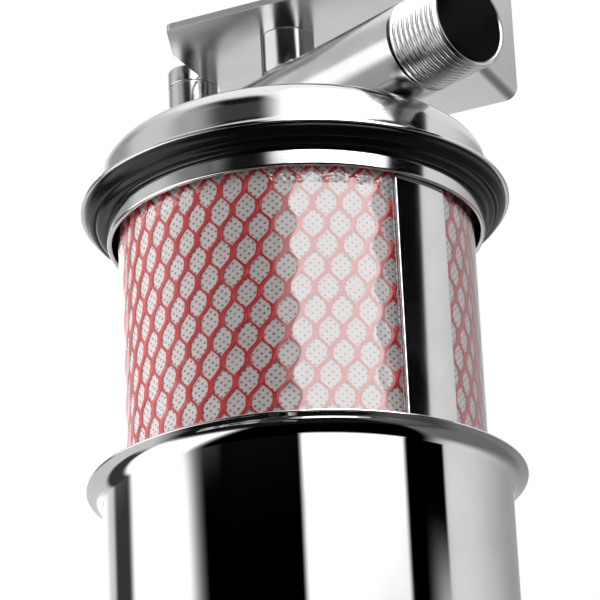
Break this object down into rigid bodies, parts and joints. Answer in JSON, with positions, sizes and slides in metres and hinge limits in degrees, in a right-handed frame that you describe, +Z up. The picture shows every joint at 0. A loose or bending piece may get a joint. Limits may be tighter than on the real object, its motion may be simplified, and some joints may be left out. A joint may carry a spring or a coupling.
{
  "type": "water filter housing",
  "caption": "Polished steel water filter housing, bowl drawn down to show a red-netted cartridge in its cradle, with wall bracket, threaded pipe ends, drain and V-band clamp.",
  "frame": {"origin": "On the housing's axis, in the flange plane of the head.", "axes": "+X runs along the inlet nipple towards its mouth, +Z runs up along the housing's axis, and +Y completes the right-handed set."},
  "size_m": [0.146, 0.1578, 0.4038],
  "materials": {
    "polished_steel": "mirror-polished stainless steel",
    "satin_steel": "satin stainless steel",
    "black_rubber": "smooth moulded rubber",
    "white_plastic": "moulded white plastic",
    "white_media": "non-woven felt with a fine grey dot pattern",
    "red_net": "extruded plastic net",
    "clear_film": "clear glossy film",
    "black_plastic": "moulded black plastic"
  },
  "bodies": {
    "head": {"head_cap": "polished_steel", "head_skirt": "polished_steel", "head_gasket": "black_rubber", "inlet_nipple": "polished_steel", "outlet_nipple": "polished_steel", "flow_divider": "polished_steel", "inlet_port": "polished_steel", "outlet_spigot": "polished_steel", "spigot_o_rings": "black_rubber", "centre_boss": "polished_steel", "rear_boss": "polished_steel", "wall_bracket": "polished_steel", "centre_bolt": "satin_steel", "rear_bolt": "satin_steel", "bracket_washers": "satin_steel"},
    "bowl": {"bowl_shell": "polished_steel", "drain_boss": "polished_steel"},
    "cartridge": {"cartridge_top_cap": "white_plastic", "cartridge_bottom_cap": "white_plastic", "core_tube": "white_plastic", "filter_media": "white_media", "net_sleeve": "red_net", "clear_film": "clear_film", "front_strap": "polished_steel", "rear_strap": "polished_steel", "centring_springs": "polished_steel", "cradle_foot": "polished_steel", "cradle_ring": "polished_steel"},
    "drain": {"drain_plug": "polished_steel", "drain_washer": "black_rubber"},
    "clamp": {"clamp_segments": "polished_steel", "clamp_band": "polished_steel", "clamp_trunnions": "polished_steel", "clamp_t_bolt": "polished_steel"},
    "knob": {"clamp_knob": "black_plastic"}
  },
  "joints": [
    {"name": "bowl_slide", "type": "slide", "parent": "head", "child": "bowl", "axis": [0, 0, 1], "range_m": [-0.07, 0.0762]},
    {"name": "cartridge_slide", "type": "slide", "parent": "head", "child": "cartridge", "axis": [0, 0, -1], "range_m": [0, 0.012]},
    {"name": "drain_plug_turn", "type": "hinge", "parent": "bowl", "child": "drain", "pos_m": [0, 0, -0.293], "axis": [0, 0, 1], "continuous": true},
    {"name": "clamp_slide", "type": "slide", "parent": "bowl", "child": "clamp", "axis": [0, 0, 1], "range_m": [0, 0.083]},
    {"name": "clamp_knob_turn", "type": "hinge", "parent": "clamp", "child": "knob", "pos_m": [0.03226, -0.06665, -0.178], "axis": [1, 0, 0], "continuous": true}
  ]
}
